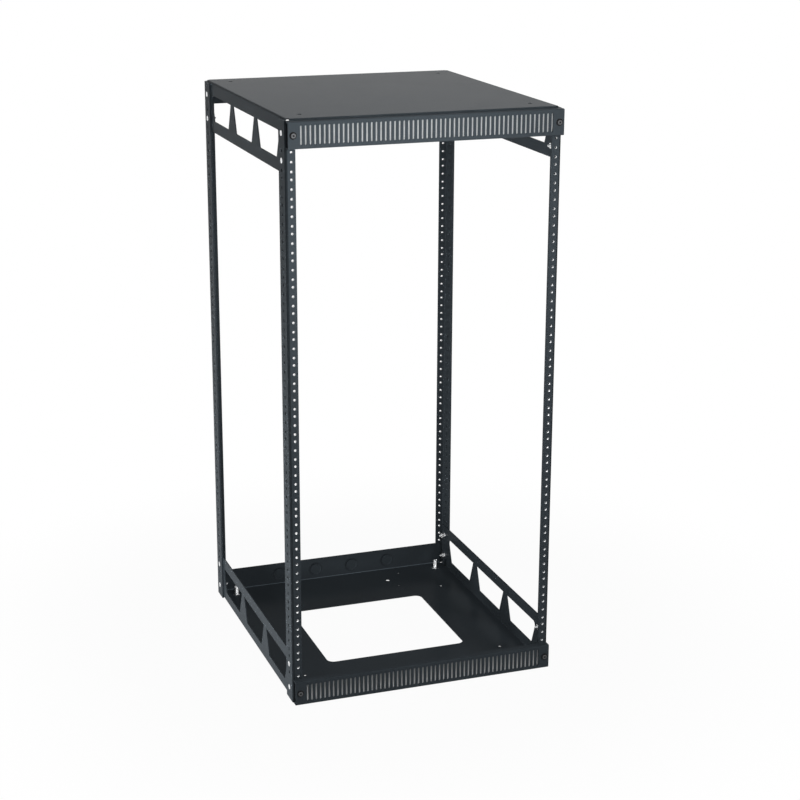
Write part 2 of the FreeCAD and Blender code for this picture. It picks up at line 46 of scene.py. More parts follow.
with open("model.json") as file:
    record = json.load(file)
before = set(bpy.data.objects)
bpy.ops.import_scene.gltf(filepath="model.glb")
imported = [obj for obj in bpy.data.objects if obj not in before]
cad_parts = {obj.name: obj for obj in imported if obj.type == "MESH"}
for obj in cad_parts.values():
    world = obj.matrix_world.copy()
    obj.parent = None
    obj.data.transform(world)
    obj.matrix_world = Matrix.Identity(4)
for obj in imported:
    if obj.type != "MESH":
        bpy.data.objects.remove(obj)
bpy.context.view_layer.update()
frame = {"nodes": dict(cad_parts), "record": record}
NODES = sorted(frame["nodes"])
COLOURS = {entry["slot"]: entry["base_color"] for entry in frame["record"]["materials"]}
BODY = "root"

# Rail holes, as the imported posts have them: FIRST_HOLE is the single hole below the lowest unit
UNIT = 0.04445
UNITS = 21
FIRST_HOLE = 0.022225
HOLE_STEP = 0.015875
HOLE_INSET = 0.01031875

# Folded back of a pan and its knock-outs
PAN_SHEET = 0.0019
BACK_HEIGHT = 0.045
KNOCKOUT_PITCH = 0.077

# How far out a knock-out's dish, a pan's painted bend highlight and a post's painted bend shade are whole,
# and where they end
DISH_REACH = (0.0098, 0.0126)
HIGHLIGHT_REACH = (0.0009, 0.0016)
SHADE_REACH = (0.0028, 0.0046)

# Rows of points for each turn of a thread, and the angle past which an edge is sharp
ROWS_A_TURN = 6
SHARP_ANGLE = math.radians(38)


# Shapes

class Shape:
    """Points with the quads and triangles between them."""

    def __init__(self, points, quads, triangles):
        self.points = points
        self.quads = quads
        self.triangles = triangles

    def at(self, centre, direction):
        """A copy whose own Z runs along direction from centre: x * side + y * up + z * direction."""
        direction = np.array(direction, float)
        up = np.array((0, 1, 0) if abs(direction[2]) > 0.5 else (0, 0, 1), float)
        side = np.cross(up, direction)
        points = self.points @ np.array([side, up, direction]) + np.array(centre, float)
        return Shape(points, self.quads, self.triangles)


def together(shapes):
    """One shape out of several, each one's point numbers moved past those before it."""
    starts = np.cumsum([0] + [len(shape.points) for shape in shapes])
    return Shape(
        np.concatenate([shape.points for shape in shapes]),
        np.concatenate([shape.quads + start for shape, start in zip(shapes, starts)]),
        np.concatenate([shape.triangles + start for shape, start in zip(shapes, starts)]),
    )


def circle_angles(count):
    """Angles of equal parts of a circle, as one row."""
    return np.arange(count)[None, :] * 2 * np.pi / count


def quads_between(lower, upper):
    """Quads between two blocks of point numbers, closed round each row."""
    return np.stack([lower, np.roll(lower, -1, 1), np.roll(upper, -1, 1), upper], axis=-1).reshape(-1, 4)


def turned(radius, height):
    """Grid of points (radius * cos a, radius * sin a, height), with a the j-th part of the circle."""
    angle = circle_angles(radius.shape[1])
    return np.stack([radius * np.cos(angle), radius * np.sin(angle), height], axis=-1)


def capped(grid):
    """Closed surface round the rows of a grid whose first and last rows are poles, one point each."""
    rows, columns = grid.shape[:2]
    inner = grid[1:-1].reshape(-1, 3)
    poles = grid[[0, -1], 0]
    number = np.arange(len(inner)).reshape(rows - 2, columns)
    first, last = len(inner), len(inner) + 1
    start = np.stack([np.roll(number[0], -1), number[0], np.full(columns, first)], axis=-1)
    end = np.stack([number[-1], np.roll(number[-1], -1), np.full(columns, last)], axis=-1)
    return Shape(np.concatenate([inner, poles]), quads_between(number[:-1], number[1:]),
                 np.concatenate([start, end]))


def lathed(radius, height):
    """Closed turned surface: radius(i, j) and height(i, j) from one pole, outwards, to the other."""
    return capped(turned(radius, height))


def ringed(radius, height):
    """Turned surface closed both ways: the profile goes up outside, down inside and meets itself."""
    number = np.arange(radius.size).reshape(radius.shape)
    return Shape(turned(radius, height).reshape(-1, 3), quads_between(number, np.roll(number, -1, 0)),
                 np.zeros((0, 3), int))


def profile_rows(corners, angle):
    """Radius and height blocks from (radius, height) corners.

    A radius is a number, which is the same all round, or a row of numbers, one for each angle.
    """
    flat = np.ones_like(angle)
    return (np.concatenate([radius * flat for radius, height in corners]),
            np.concatenate([height * flat for radius, height in corners]))


def thread_rows(low, high, root, crest, pitch, angle):
    """Rows of a screw thread from low to high, a triangle wave that climbs one pitch each turn.

    radius = root + (crest - root) * (1 - |2 t - 1|), with t the fraction of height / pitch - turns.
    The wave fades out over the first and last half pitch.
    """
    count = max(4, int(round(abs(high - low) / pitch * ROWS_A_TURN)))
    height = np.linspace(low, high, count)[:, None] * np.ones_like(angle)
    t = np.mod(height / pitch - angle / (2 * np.pi), 1)
    wave = 1 - np.abs(2 * t - 1)
    ends = np.minimum(np.abs(height - low), np.abs(height - high)) / (pitch / 2)
    return root + (crest - root) * wave * np.clip(ends, 0, 1), height


def hexagon_radius(across, angle):
    """Distance from the middle to a hexagon's wall: half the flats over the cosine to its nearest flat."""
    return across / 2 / np.cos(np.mod(angle, math.pi / 3) - math.pi / 6)


def cross_radius(length, half_width, angle):
    """Distance from the middle to the outline of a cross: the wing's end or its side, whichever is nearer."""
    wing = np.abs(np.mod(angle + math.pi / 4, math.pi / 2) - math.pi / 4)
    return np.minimum(length / np.cos(wing), half_width / np.maximum(np.sin(wing), 1e-6))


def stacked(*blocks):
    """Radius and height blocks, one above the other."""
    return np.concatenate([block[0] for block in blocks]), np.concatenate([block[1] for block in blocks])


def rounded_rim(radius, low, high, rounding, steps=5):
    """Corners of a head: up its side and over a quarter circle of the given rounding."""
    turn = np.linspace(0, math.pi / 2, steps)
    out = radius - rounding + rounding * np.cos(turn)
    up = high - rounding + rounding * np.sin(turn)
    return [(radius, low), *zip(out, up)]


# Materials

class Wire:
    """An output socket whose +, - and * add Math nodes."""

    def __init__(self, recipe, socket):
        self.recipe = recipe
        self.socket = socket

    def __add__(self, other):
        return self.recipe.maths("ADD", self, other)

    __radd__ = __add__

    def __sub__(self, other):
        return self.recipe.maths("SUBTRACT", self, other)

    def __rsub__(self, other):
        return self.recipe.maths("SUBTRACT", other, self)

    def __mul__(self, other):
        return self.recipe.maths("MULTIPLY", self, other)

    __rmul__ = __mul__

    def clamped(self):
        """The value held between 0 and 1."""
        return self.recipe.add("ShaderNodeClamp", {}, {"Value": self})


class Recipe:
    """A node tree under construction."""

    def __init__(self, tree):
        self.tree = tree
        self.tree.nodes.clear()

    def add(self, kind, settings, sockets, output=0):
        """Adds a node: its settings first, then its sockets' values or links. Gives one of its outputs."""
        node = self.tree.nodes.new(kind)
        for field, value in settings.items():
            setattr(node, field, value)
        for key, value in sockets.items():
            self.feed(node.inputs[key], value)
        return None if output is None else Wire(self, node.outputs[output])

    def feed(self, socket, value):
        """Links a wire to a socket, or sets the socket to a value."""
        if isinstance(value, Wire):
            self.tree.links.new(value.socket, socket)
        else:
            socket.default_value = value

    def maths(self, operation, first, second=0):
        """One Math node. An operation on one value ignores the second."""
        return self.add("ShaderNodeMath", {"operation": operation}, {0: first, 1: second})

    def blend(self, factor, first, second):
        """Colour between first and second."""
        return self.add("ShaderNodeMix", {"data_type": "RGBA"}, {0: factor, 6: first, 7: second}, 2)

    def along(self, axis):
        """One of the three object coordinates."""
        spot = self.add("ShaderNodeTexCoord", {}, {}, "Object")
        return self.add("ShaderNodeSeparateXYZ", {}, {"Vector": spot}, axis)

    def place(self, scale=(1, 1, 1)):
        """Object coordinates, stretched."""
        spot = self.add("ShaderNodeTexCoord", {}, {}, "Object")
        return self.add("ShaderNodeMapping", {}, {"Vector": spot, "Scale": scale})

    def noise(self, spot, size, detail=2.0, roughness=0.5):
        """Cloudy pattern whose blobs are about size metres wide, from 0 to 1."""
        return self.add("ShaderNodeTexNoise", {}, {
            "Vector": spot, "Scale": 1 / size, "Detail": detail, "Roughness": roughness}, "Fac")

    def cells(self, spot, size):
        """Distance to the nearest of scattered points about size metres apart."""
        return self.add("ShaderNodeTexVoronoi", {}, {"Vector": spot, "Scale": 1 / size}, "Distance")

    def sharpened(self, value, low, high):
        """0 below low, 1 above high, smooth between."""
        return self.add("ShaderNodeMapRange", {"interpolation_type": "SMOOTHSTEP"}, {
            "Value": value, "From Min": low, "From Max": high})

    def bump(self, height, depth, strength=1.0):
        """Normal of a relief that is depth metres high where height is 1."""
        return self.add("ShaderNodeBump", {}, {"Height": height, "Distance": depth, "Strength": strength})


def rgba(colour, level=1.0):
    """A colour with its alpha, lighter or darker by level."""
    return tuple(min(1.0, part * level) for part in colour) + (1.0,)


def surface_recipe(name):
    """A new material, its recipe and its Principled shader."""
    material = bpy.data.materials.new(name)
    material.use_nodes = True
    recipe = Recipe(material.node_tree)
    shader = recipe.tree.nodes.new("ShaderNodeBsdfPrincipled")
    output = recipe.tree.nodes.new("ShaderNodeOutputMaterial")
    recipe.tree.links.new(shader.outputs["BSDF"], output.inputs["Surface"])
    return material, recipe, shader


def knockouts(recipe, pan):
    """Dish of the four knock-outs in a pan's folded back: 1 inside each circle, 0 outside.

    The circles stand half a pitch and one and a half pitches to either side of the middle.
    """
    low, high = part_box(pan)
    middle = low.z + BACK_HEIGHT / 2 if pan == "base_pan" else high.z - BACK_HEIGHT / 2
    x, y, z = (recipe.along(axis) for axis in "XYZ")
    across = (recipe.maths("FRACT", x * (1 / KNOCKOUT_PITCH)) - 0.5) * KNOCKOUT_PITCH
    up = z - middle
    reach = recipe.maths("SQRT", across * across + up * up)
    in_row = recipe.maths("LESS_THAN", recipe.maths("ABSOLUTE", x), 2 * KNOCKOUT_PITCH)
    in_back = recipe.maths("GREATER_THAN", y, high.y - 1.5 * PAN_SHEET)
    return (1 - recipe.sharpened(reach, *DISH_REACH)) * in_row * in_back


def painted_bend_highlight(recipe, pan):
    """Where the painted highlight goes: 1 along the inside of the bend between a pan's flat and its folded
    back, 0 away from it.
    """
    low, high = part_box(pan)
    corner = low.z + PAN_SHEET if pan == "base_pan" else high.z - PAN_SHEET
    off_back = recipe.maths("ABSOLUTE", recipe.along("Y") - (high.y - PAN_SHEET))
    off_flat = recipe.maths("ABSOLUTE", recipe.along("Z") - corner)
    by_back, by_flat = (1 - recipe.sharpened(off, *HIGHLIGHT_REACH) for off in (off_back, off_flat))
    return by_back * by_flat


def bend_shade(recipe, post):
    """Where the painted shade goes: 1 along the outer bend of a front post, 0 away from it."""
    low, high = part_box(post)
    side = low.x if low.x < 0 else high.x
    off_side = recipe.maths("ABSOLUTE", recipe.along("X") - side)
    off_face = recipe.maths("ABSOLUTE", recipe.along("Y") - low.y)
    return 1 - recipe.sharpened(recipe.maths("MAXIMUM", off_side, off_face), *SHADE_REACH)


def powder_coat(settings, pan=None, post=None):
    """Satin powder coat: fine grain, faint clouding and sparse lighter flecks.

    A pan also gets dished knock-outs and a painted highlight along its inner bend, and a front post painted
    shade along its outer bend.
    """
    name = f"coat_of_{pan or post}" if pan or post else "powder_coat"
    material, recipe, shader = surface_recipe(name)
    spot = recipe.place()
    grain = recipe.noise(spot, settings.grain_size, 3.0, 0.6)
    peel = recipe.noise(spot, settings.grain_size * 5, 2.0)
    cloud = recipe.noise(spot, 0.16, 3.0, 0.55)
    handled = recipe.sharpened(recipe.noise(spot, 0.045, 4.0, 0.65), 0.5, 0.72)
    fleck = 1 - recipe.sharpened(recipe.cells(spot, 0.0085), 0.05, 0.09)
    tone = (recipe.sharpened(grain, 0.3, 0.7) * 0.45 + cloud * 0.55).clamped()
    coat = recipe.blend(tone, rgba(settings.coat_colour, 0.82), rgba(settings.coat_colour, 1.18))
    dusted = recipe.blend(fleck * 0.16, coat, rgba(settings.dust_colour))
    # Painted highlight: the pan's inner bend is painted lighter than the coat
    if pan:
        highlight = rgba(settings.coat_colour, settings.bend_highlight_level)
        dusted = recipe.blend(painted_bend_highlight(recipe, pan), dusted, highlight)
    # Painted shade: the front post's outer bend is painted darker than the coat
    if post:
        shade = rgba(settings.coat_colour, settings.shade_level)
        dusted = recipe.blend(bend_shade(recipe, post), dusted, shade)
    recipe.feed(shader.inputs["Base Color"], dusted)
    recipe.feed(shader.inputs["Roughness"], settings.coat_roughness - 0.03 + 0.04 * cloud + 0.02 * handled)
    shader.inputs["Specular IOR Level"].default_value = settings.coat_gloss
    shader.inputs["Specular Tint"].default_value = rgba(settings.gloss_tint)
    relief = (grain * 0.6 + peel * 0.4) * settings.grain_depth
    if pan:
        relief = relief - knockouts(recipe, pan) * settings.dish_depth
    recipe.feed(shader.inputs["Normal"], recipe.bump(relief, 1.0))
    return material


def zinc_plate(settings, name, colour):
    """Plated or bare metal: turning marks, cloudy passivation and small dull spots."""
    material, recipe, shader = surface_recipe(name)
    spot = recipe.place()
    cloud = recipe.noise(spot, 0.004, 3.0)
    marks = recipe.noise(recipe.place((1, 6, 6)), 0.0009, 2.0)
    spots = recipe.sharpened(recipe.noise(spot, 0.0016, 3.0, 0.6), 0.58, 0.72)
    bright = recipe.blend(cloud, rgba(colour, 0.9), rgba(colour, 1.12))
    recipe.feed(shader.inputs["Base Color"], recipe.blend(spots * 0.5, bright, rgba(settings.dull_colour)))
    recipe.feed(shader.inputs["Roughness"], 0.2 + 0.12 * marks + 0.16 * spots)
    shader.inputs["Metallic"].default_value = 1.0
    recipe.feed(shader.inputs["Normal"], recipe.bump(marks, 0.00002, 0.6))
    return material


def shared_plate(settings):
    """The zinc plate that bolts, nuts and inserts share, made by the first of them."""
    return bpy.data.materials.get("zinc_plate") or zinc_plate(settings, "zinc_plate", settings.zinc_colour)


def black_oxide(settings, face):
    """Black oxide on steel, lighter grey with a painted highlight, mottled with wear, on what stands well
    before the face at that Y.
    """
    material, recipe, shader = surface_recipe("black_oxide")
    spot = recipe.place()
    cloud = recipe.noise(spot, 0.003, 3.0)
    wear = recipe.sharpened(recipe.noise(spot, 0.0007, 3.0, 0.7), 0.62, 0.8)
    # Painted highlight: what stands well before the face, the head, is painted lighter grey and made partly
    # metallic, mottled with wear
    highlighted = recipe.sharpened(face - recipe.along("Y"), settings.screw_rise * 0.6, settings.screw_rise * 0.8)
    black = recipe.blend(cloud, rgba(settings.screw_colour, 0.6), rgba(settings.screw_colour))
    grey = recipe.blend(wear * 0.4, rgba(settings.head_highlight_colour), rgba(settings.dull_colour, 0.5))
    recipe.feed(shader.inputs["Base Color"], recipe.blend(highlighted, black, grey))
    recipe.feed(shader.inputs["Roughness"], 0.35 + 0.15 * cloud)
    recipe.feed(shader.inputs["Metallic"], highlighted * 0.6)
    shader.inputs["Specular IOR Level"].default_value = 0.1
    recipe.feed(shader.inputs["Normal"], recipe.bump(wear, 0.00002, 0.5))
    return material


def filter_felt(settings, name, level, low, high):
    """Pale felted mat: matted fibres both ways and soft thin places.

    Its foot is level times as light as the mat's own colour; a level above 1 is painted light, and painted
    shade then darkens the mat upwards.
    """
    material, recipe, shader = surface_recipe(name)
    along = recipe.noise(recipe.place((1, 1, 9)), 0.004, 4.0, 0.7)
    across = recipe.noise(recipe.place((9, 1, 1)), 0.004, 4.0, 0.7)
    thin = recipe.noise(recipe.place(), 0.02, 3.0)
    fibres = recipe.maths("MAXIMUM", along, across)
    colour = settings.mat_colour
    dark, light = rgba(colour, 0.78 * level), rgba(colour, 1.12 * level)
    pale = recipe.blend(recipe.sharpened(fibres, 0.35, 0.7), dark, light)
    fibred = recipe.blend(thin * 0.25, pale, rgba(colour, 0.6 * level))
    # Painted shade: with a level above 1 the mat darkens from its foot towards its head
    painted_shade = recipe.sharpened(recipe.along("Z"), low.z, high.z) * (level - 1)
    recipe.feed(shader.inputs["Base Color"], recipe.blend(painted_shade.clamped(), fibred, rgba(colour, 0.4)))
    recipe.feed(shader.inputs["Roughness"], 0.8 + 0.18 * fibres)
    shader.inputs["Sheen Weight"].default_value = 0.25
    recipe.feed(shader.inputs["Normal"], recipe.bump(fibres, settings.fibre_depth))
    return material


def put(name, shape, material, stands_for=()):
    """Makes a shape an object that rides on the rack, smooth but for its sharp edges."""
    mesh = bpy.data.meshes.new(name)
    mesh.from_pydata(shape.points.tolist(), [], shape.quads.tolist() + shape.triangles.tolist())
    mesh.polygons.foreach_set("use_smooth", np.ones(len(mesh.polygons), bool))
    mesh.set_sharp_from_angle(angle=SHARP_ANGLE)
    mesh.materials.append(material)
    piece = bpy.data.objects.new(name, mesh)
    bpy.context.scene.collection.objects.link(piece)
    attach(piece, BODY)
    if stands_for:
        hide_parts(*stands_for)


def dress(names, material):
    """Gives CAD nodes a material."""
    for name in names:
        slots = frame["nodes"][name].data.materials
        slots.clear()
        slots.append(material)


def pair_of(shape, node, x, facing):
    """The shape twice: where a node's two round parts stand, one above the other, on the plane at x."""
    low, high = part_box(node)
    radius = (high.y - low.y) / 2
    places = [(x, (low.y + high.y) / 2, z) for z in (low.z + radius, high.z - radius)]
    return together([shape.at(place, (facing, 0, 0)) for place in places])


def ends_with(*endings):
    """Names of the CAD nodes with one of these endings."""
    return [name for name in NODES if name.endswith(endings)]


# Settings

class RackCoatSettings(bpy.types.PropertyGroup):
    """Finish of the posts, pans and slotted panels, with the painted highlight and painted shade of some
    bends
    """
    coat_colour: FloatVectorProperty(
        name="Coat", description="Colour of the powder coat", subtype="COLOR", size=3, min=0, max=1,
        default=COLOURS["powder_coat"])
    dust_colour: FloatVectorProperty(
        name="Dust", description="Colour of the flecks on the coat", subtype="COLOR", size=3, min=0, max=1,
        default=(0.3, 0.31, 0.32))
    coat_roughness: FloatProperty(
        name="Roughness", description="Roughness of the coat", subtype="FACTOR", min=0, max=1, default=0.22)
    coat_gloss: FloatProperty(
        name="Gloss", description="Strength of the coat's reflection", subtype="FACTOR", min=0, max=1,
        default=0.004)
    gloss_tint: FloatVectorProperty(
        name="Gloss tint", description="Colour of the coat's reflection", subtype="COLOR", size=3,
        min=0, max=1, default=(0.72, 0.88, 1.0))
    # Painted shade: how dark the front posts' outer bend is painted
    shade_level: FloatProperty(
        name="Bend shade", description="Lightness of the front posts' outer bend, as a share of the coat's",
        subtype="FACTOR", min=0, max=1, default=0.45)
    grain_size: FloatProperty(
        name="Grain size", description="Width of a pebble of the coat", unit="LENGTH", default=0.0011)
    grain_depth: FloatProperty(
        name="Grain depth", description="Height of the pebbles", unit="LENGTH", default=0.00003)
    # Painted highlight: how many times lighter than the coat the pans' inner bend is painted
    bend_highlight_level: FloatProperty(
        name="Bend shine", description="Lightness of the pans' inner bend, in times the coat's",
        min=1, default=2.5)
    dish_depth: FloatProperty(
        name="Dish depth", description="How far the knock-outs are pressed in", unit="LENGTH", default=0.0016)


class RackHardwareSettings(bpy.types.PropertyGroup):
    """Sizes and colours of the threads, bolts, nuts, screws and inserts"""
    zinc_colour: FloatVectorProperty(
        name="Zinc", description="Colour of the plated hardware", subtype="COLOR", size=3, min=0, max=1,
        default=COLOURS["zinc_hardware"])
    thread_colour: FloatVectorProperty(
        name="Threads", description="Colour of the tapped holes' threads", subtype="COLOR", size=3,
        min=0, max=1, default=(0.5, 0.51, 0.52))
    screw_colour: FloatVectorProperty(
        name="Panel screws", description="Colour of the panel screws", subtype="COLOR", size=3, min=0, max=1,
        default=COLOURS["black_screw"])
    # Painted highlight on the panel screws' heads
    head_highlight_colour: FloatVectorProperty(
        name="Rubbed heads", description="Colour of the panel screws' rubbed heads", subtype="COLOR", size=3,
        min=0, max=1, default=(0.09, 0.093, 0.097))
    dull_colour: FloatVectorProperty(
        name="Dull spots", description="Colour of dull spots on metal", subtype="COLOR", size=3, min=0, max=1,
        default=(0.36, 0.35, 0.33))
    post_sheet: FloatProperty(
        name="Post sheet", description="Thickness of the posts", unit="LENGTH", default=0.003)
    tapped_bore: FloatProperty(
        name="Tapped bore", description="Diameter of the rail holes", unit="LENGTH", default=0.0048)
    tap_depth: FloatProperty(
        name="Tapped depth", description="Crest to root in the rail holes", unit="LENGTH", default=0.0006)
    shank: FloatProperty(
        name="Shank", description="Diameter of the bolts and screws", unit="LENGTH", default=0.0046)
    thread_pitch: FloatProperty(
        name="Thread pitch", description="Crest to crest on the bolts and screws", unit="LENGTH",
        default=0.0008)
    thread_depth: FloatProperty(
        name="Thread depth", description="Crest to root on the bolts and screws", unit="LENGTH",
        default=0.0004)
    screw_rise: FloatProperty(
        name="Screw head", description="Height of the panel screws and their washers", unit="LENGTH",
        default=0.0027)
    bolt_rise: FloatProperty(
        name="Bolt head", description="Height of the side bolts' low heads", unit="LENGTH", default=0.0006)
    recess_depth: FloatProperty(
        name="Recess depth", description="Depth of the cross recess", unit="LENGTH", default=0.0013)
    skirt_rise: FloatProperty(
        name="Nut skirt", description="Thickness of the nuts' toothed skirt", unit="LENGTH", default=0.001)
    nut_width: FloatProperty(
        name="Nut", description="Nuts across flats", unit="LENGTH", default=0.0095)
    nut_bore: FloatProperty(
        name="Nut bore", description="Diameter of the hole in the nuts", unit="LENGTH", default=0.0047)
    around: IntProperty(
        name="Facets", description="Points round a turned piece, a multiple of 24", min=24, default=48)


class RackFilterSettings(bpy.types.PropertyGroup):
    """Finish of the filter mats, with the painted light and painted shade of the base mat"""
    mat_colour: FloatVectorProperty(
        name="Mat", description="Colour of the filter mats", subtype="COLOR", size=3, min=0, max=1,
        default=COLOURS["filter_mat"])
    # Painted light and shade of the base mat: a lighter foot, darkening upwards
    base_mat_painted_light: FloatProperty(
        name="Base mat", description="Lightness of the base mat's foot, in times the other mat's",
        min=1, default=1.8)
    fibre_depth: FloatProperty(
        name="Fibre depth", description="Height of the matted fibres", unit="LENGTH", default=0.0003)
    slack: FloatProperty(
        name="Slack", description="How far the mat's face dips in places", unit="LENGTH", default=0.0004)


class RackStageSettings(bpy.types.PropertyGroup):
    """Camera, floor, room and lamps"""
    lens: FloatProperty(
        name="Lens", description="Focal length on a 36 mm sensor", unit="CAMERA", default=83.09)
    camera_place: FloatVectorProperty(
        name="Camera", description="Place of the camera", subtype="TRANSLATION", size=3,
        default=(-1.0625, -3.0968, 1.4578))
    camera_yaw: FloatProperty(
        name="Yaw", description="How far the camera looks to the right of +Y", subtype="ANGLE",
        default=math.radians(19.72))
    camera_pitch: FloatProperty(
        name="Pitch", description="How far the camera looks down", subtype="ANGLE",
        default=math.radians(16.98))
    camera_roll: FloatProperty(
        name="Roll", description="Turn of the camera about its view", subtype="ANGLE",
        default=math.radians(0.21))
    floor_size: FloatProperty(
        name="Floor", description="Half the width of the floor", unit="LENGTH", default=30.0)
    shadow_reach: FloatProperty(
        name="Shadow reach", description="Where the floor's own shade has faded to plain white",
        unit="LENGTH", default=1.0)
    shadow_share: FloatProperty(
        name="Shadow", description="How much of the floor's own light and shade shows", subtype="FACTOR",
        min=0, max=1, default=0.04)
    ambient: FloatProperty(
        name="Ambient", description="Light of the white room on the object", min=0, default=0.0)
    front_power: FloatProperty(
        name="Front", description="Power of the lamp before the upper panel", subtype="POWER", default=2.2)
    right_power: FloatProperty(
        name="Right", description="Power of the lamp on the right in front", subtype="POWER", default=4.1)
    low_power: FloatProperty(
        name="Low", description="Power of the low lamp in front", subtype="POWER", default=0.58)
    left_power: FloatProperty(
        name="Left", description="Power of the small low lamp on the left", subtype="POWER", default=9.5)
    top_power: FloatProperty(
        name="Top", description="Power of the lamp overhead", subtype="POWER", default=4.1)
    post_power: FloatProperty(
        name="Post", description="Power of the small lamp before the front left post", subtype="POWER",
        default=1.1)


# Operators

class RackCoat(bpy.types.Operator):
    """Coats the posts, pans and slotted panels"""
    bl_idname = "rack.coat"
    bl_label = "Coat the sheet metal"

    def execute(self, context):
        settings = context.scene.rack_coat
        # The front posts get painted shade along their outer bends
        shaded = ("front_left_post", "front_right_post")
        plain = [name for name in ends_with("_post", "_vent_panel") if name not in shaded]
        dress(plain, powder_coat(settings))
        for post in shaded:
            dress([post], powder_coat(settings, post=post))
        # The pans get a painted highlight along their inner bends
        for pan in ends_with("_pan"):
            dress([pan], powder_coat(settings, pan))
        return {"FINISHED"}


class RackRailThreads(bpy.types.Operator):
    """Lines the tapped rail holes of the posts with bare steel threads"""
    bl_idname = "rack.rail_threads"
    bl_label = "Tap the rail holes"

    def execute(self, context):
        settings = context.scene.rack_hardware
        material = zinc_plate(settings, "bare_thread", settings.thread_colour)
        liner = self.liner(settings)
        middles = FIRST_HOLE + UNIT * np.arange(1, UNITS + 1)
        heights = (middles[:, None] + HOLE_STEP * np.array([-1, 0, 1])).ravel()
        for post in ends_with("_post"):
            low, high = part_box(post)
            left, front = "left" in post, "front" in post
            column = low.x + HOLE_INSET if left else high.x - HOLE_INSET
            face = low.y if front else high.y
            inward = (0, 1, 0) if front else (0, -1, 0)
            # The front posts' end holes hold the panel screws
            ends = [] if front else [FIRST_HOLE, FIRST_HOLE + UNIT * (UNITS + 1)]
            places = np.concatenate([heights, ends])
            shape = together([liner.at((column, face, z), inward) for z in places])
            put(post.replace("_post", "_rail_threads"), shape, material)
        return {"FINISHED"}

    def liner(self, settings):
        """One lined hole: three inner ridges, closed by a plain wall just inside the bore."""
        clearance, facets = 0.00002, 10
        bore = settings.tapped_bore / 2
        wall, ridge = bore - clearance, bore - settings.tap_depth
        radii = (wall, ridge, wall, ridge, wall, ridge, wall)
        depths = np.linspace(0, settings.post_sheet, len(radii))
        corners = list(zip(radii, depths))[::-1]
        return ringed(*profile_rows(corners, circle_angles(facets)))


class RackSideBolts(bpy.types.Operator):
    """Makes the cross-recessed bolts that join the posts to the pans"""
    bl_idname = "rack.side_bolts"
    bl_label = "Make the side bolts"

    def execute(self, context):
        settings = context.scene.rack_hardware
        material = shared_plate(settings)
        for node in ends_with("_bolts"):
            low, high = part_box(node)
            outward = -1 if low.x < 0 else 1
            bolt = self.bolt(settings, (high.y - low.y) / 2, high.x - low.x)
            crown = high.x if outward > 0 else low.x
            pair = pair_of(bolt, node, crown - outward * settings.bolt_rise, outward)
            put(node + "_cut", pair, material, [node])
        return {"FINISHED"}

    def bolt(self, settings, radius, length):
        """One bolt about the face under its head: thread, plain shank, low head, cross recess."""
        threaded, rounding, wing, half_wing = 0.0052, 0.0007, 0.0019, 0.0005
        angle = circle_angles(settings.around)
        crest = settings.shank / 2
        root = crest - settings.thread_depth
        rise = settings.bolt_rise
        tip = rise - length
        thread_top = tip + threaded
        tail = profile_rows([(0, tip), (root, tip)], angle)
        thread = thread_rows(tip + 0.0002, thread_top, root, crest, settings.thread_pitch, angle)
        neck = profile_rows([(crest, thread_top + 0.0003), (crest, 0)], angle)
        head = profile_rows(rounded_rim(radius, 0, rise, rounding), angle)
        cross = cross_radius(wing, half_wing, angle)
        recess = profile_rows([
            (cross * 1.06, rise), (cross, rise - 0.0002), (cross * 0.82, rise - settings.recess_depth),
            (0, rise - settings.recess_depth - 0.0003),
        ], angle)
        return lathed(*stacked(tail, thread, neck, head, recess))


class RackSideNuts(bpy.types.Operator):
    """Makes the toothed flange nuts inside the rack"""
    bl_idname = "rack.side_nuts"
    bl_label = "Make the flange nuts"

    def execute(self, context):
        settings = context.scene.rack_hardware
        material = shared_plate(settings)
        for node in ends_with("_nuts"):
            low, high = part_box(node)
            inward = 1 if low.x < 0 else -1
            nut = self.nut(settings, (high.y - low.y) / 2, high.x - low.x)
            pair = pair_of(nut, node, low.x if inward > 0 else high.x, inward)
            put(node + "_cut", pair, material, [node])
        return {"FINISHED"}

    def nut(self, settings, skirt, height):
        """One nut on its seat: toothed skirt, hexagon with chamfered corners, threaded bore."""
        tooth = 0.00025
        angle = circle_angles(settings.around)
        teeth = skirt - tooth * (np.arange(settings.around) % 2)[None, :]
        hexagon = hexagon_radius(settings.nut_width, angle)
        corner = settings.nut_width / 2 / math.cos(math.pi / 6)
        rise = settings.skirt_rise
        bore = settings.nut_bore / 2
        outside = profile_rows([
            (teeth, 0), (teeth, 0.5 * rise), (skirt - 0.0004, 0.85 * rise), (hexagon, rise),
            (hexagon, height - 0.0005), (np.minimum(hexagon, corner * 0.94), height - 0.0002),
            (np.minimum(hexagon, corner * 0.87), height), (bore + 0.0004, height),
        ], angle)
        thread = thread_rows(height - 0.0003, 0.0003, bore + 0.00025, bore, settings.thread_pitch, angle)
        foot = profile_rows([(bore + 0.0004, 0)], angle)
        return ringed(*stacked(outside, thread, foot))


